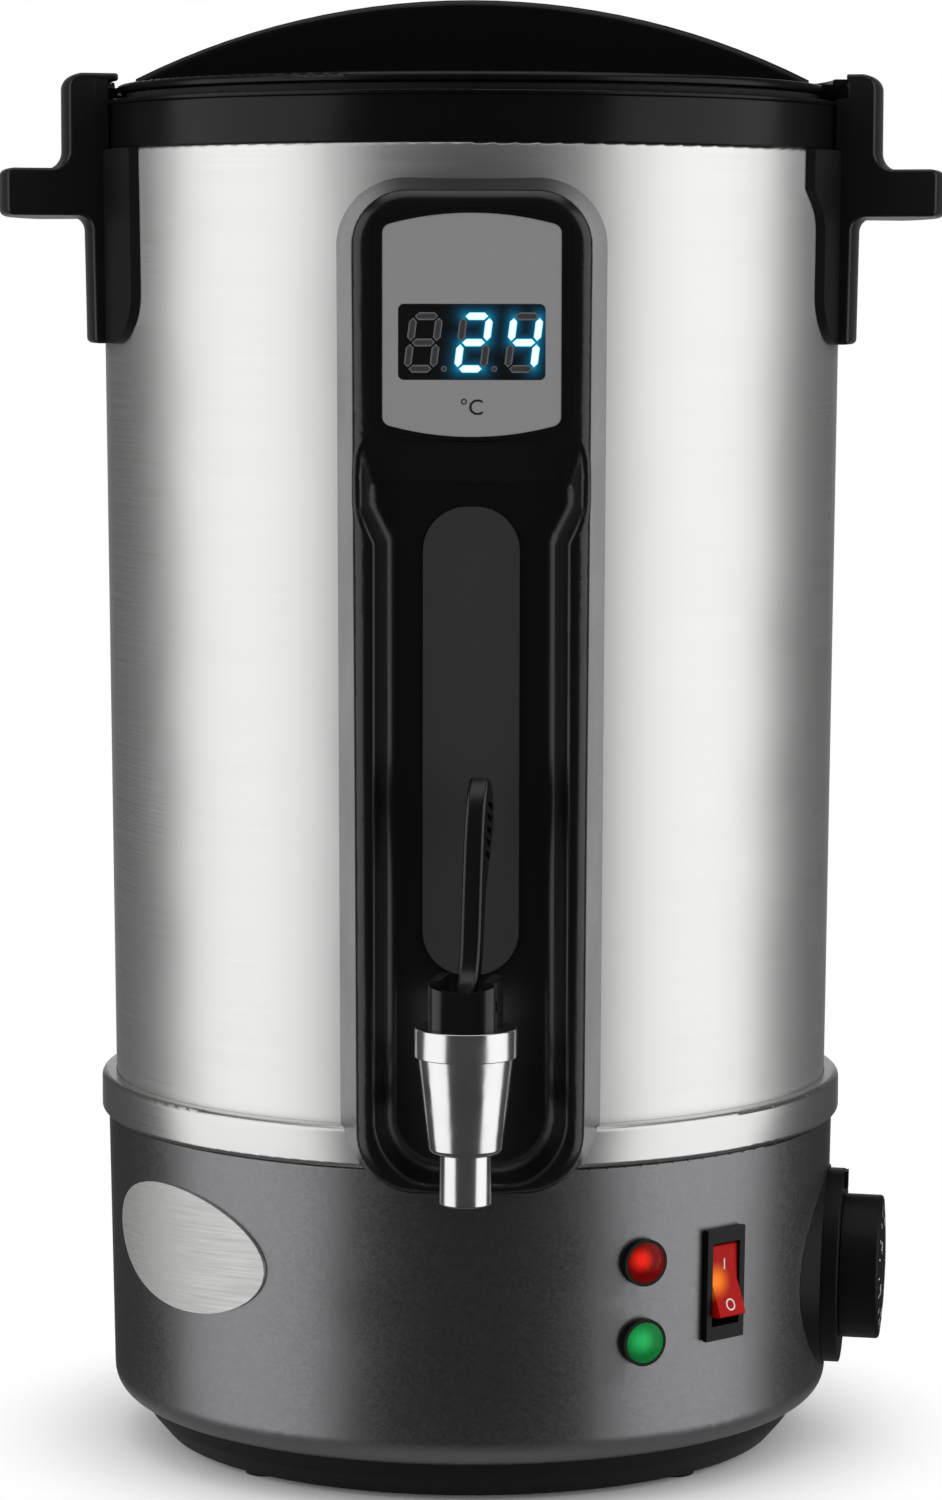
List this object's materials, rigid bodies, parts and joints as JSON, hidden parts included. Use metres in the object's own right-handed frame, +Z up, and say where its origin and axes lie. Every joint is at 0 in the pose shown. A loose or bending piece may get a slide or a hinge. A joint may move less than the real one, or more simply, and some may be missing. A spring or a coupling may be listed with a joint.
{
  "type": "candle wax melter",
  "caption": "Electric wax melter: heated steel drum with twist-lock lid, lever tap, display column and base controls.",
  "frame": {"origin": "on the floor under the drum's axis", "axes": "+Z up along the drum's axis, -Y towards the tap and the display, +X towards the dial"},
  "size_m": [0.265, 0.2706, 0.4065],
  "materials": {
    "grey_shell": "satin metallic",
    "satin_black": "satin",
    "black_silicone": "matte",
    "zinc_steel": "zinc plated",
    "aluminium": "cast",
    "bright_trim": "satin",
    "steel_drum": "brushed",
    "ceramic": "matte",
    "brass": "satin",
    "silicone": "matte",
    "gloss_black": "gloss",
    "silver_label": "satin",
    "filter": "gloss",
    "led_module": "matte",
    "circuit_board": "matte",
    "chrome": "polished",
    "badge_metal": "brushed",
    "red_lens": "gloss",
    "green_lens": "gloss",
    "red_rocker": "gloss"
  },
  "bodies": {
    "root": {"base_shell": "grey_shell", "foot_ring": "satin_black", "rubber_feet": "black_silicone", "base_plate": "zinc_steel", "tie_rods": "zinc_steel", "tie_rod_nuts": "zinc_steel", "shield_spacers": "zinc_steel", "heat_shield": "aluminium", "trim_ring": "bright_trim", "tank_wall": "steel_drum", "tank_floor": "steel_drum", "heater_plate": "aluminium", "heating_element": "steel_drum", "element_terminals": "ceramic", "thermal_cutout": "ceramic", "thermostat_bulb": "brass", "wall_screws": "zinc_steel", "screw_gaskets": "silicone", "temperature_probe": "steel_drum", "probe_nut": "zinc_steel", "collar": "gloss_black", "right_handle": "satin_black", "left_handle": "satin_black", "front_column": "gloss_black", "label_plate": "silver_label", "display_window": "filter", "display_module": "led_module", "display_board": "circuit_board", "channel_inlay": "satin_black", "tap_body": "chrome", "tap_shank": "brass", "column_seal": "silicone", "outer_tank_seal": "silicone", "inner_tank_seal": "silicone", "tap_lock_nut": "brass", "tap_bonnet": "satin_black", "valve_spring": "zinc_steel", "lever_pin": "zinc_steel", "badge_plate": "badge_metal", "red_lamp_lens": "red_lens", "green_lamp_lens": "green_lens", "lamp_holders": "satin_black", "switch_housing": "satin_black", "dial_saddle": "satin_black", "dial_ring": "satin_black", "thermostat_body": "ceramic", "thermostat_screws": "zinc_steel", "mains_inlet": "satin_black", "inlet_pins": "brass", "inlet_screws": "zinc_steel", "terminal_block": "ceramic", "internal_leads": "led_module"},
    "lid_seal": {"lid_seal": "black_silicone"},
    "lid": {"lid": "gloss_black"},
    "knob": {"thermostat_knob": "satin_black", "thermostat_spindle": "zinc_steel"},
    "rocker": {"switch_rocker": "red_rocker"},
    "lever": {"tap_lever": "satin_black"},
    "stem": {"valve_stem": "zinc_steel", "seat_plug": "silicone"}
  },
  "joints": [
    {"name": "lid_lift", "type": "slide", "parent": "root", "child": "lid_seal", "axis": [0, 0, 1], "range_m": [0, 0.12]},
    {"name": "lid_turn", "type": "hinge", "parent": "lid_seal", "child": "lid", "pos_m": [0, 0, 0.38005], "axis": [0, 0, 1], "range_deg": [0, 17]},
    {"name": "thermostat_turn", "type": "hinge", "parent": "root", "child": "knob", "pos_m": [0.10614, -0.01492, 0.04973], "axis": [-0.9901, 0.1392, 0.0184], "range_deg": [0, 270]},
    {"name": "power_rocker", "type": "hinge", "parent": "root", "child": "rocker", "pos_m": [0.06622, -0.07459, 0.05815], "axis": [0.7478, 0.6639, 0], "range_deg": [0, 24]},
    {"name": "lever_pull", "type": "hinge", "parent": "root", "child": "lever", "pos_m": [-0.00207, -0.15492, 0.14615], "axis": [0.9848, -0.1736, 0], "range_deg": [0, 30], "stiffness_Nm_per_rad": 0.05, "springref_deg": -17.19},
    {"name": "stem_lift", "type": "slide", "parent": "root", "child": "stem", "axis": [0, 0, 1], "range_m": [0, 0.00289], "deforming": ["valve_spring"]}
  ],
  "couplings": [
    {"joint": "lever_pull", "follows": "stem_lift", "rad_per_m": 181.27}
  ]
}
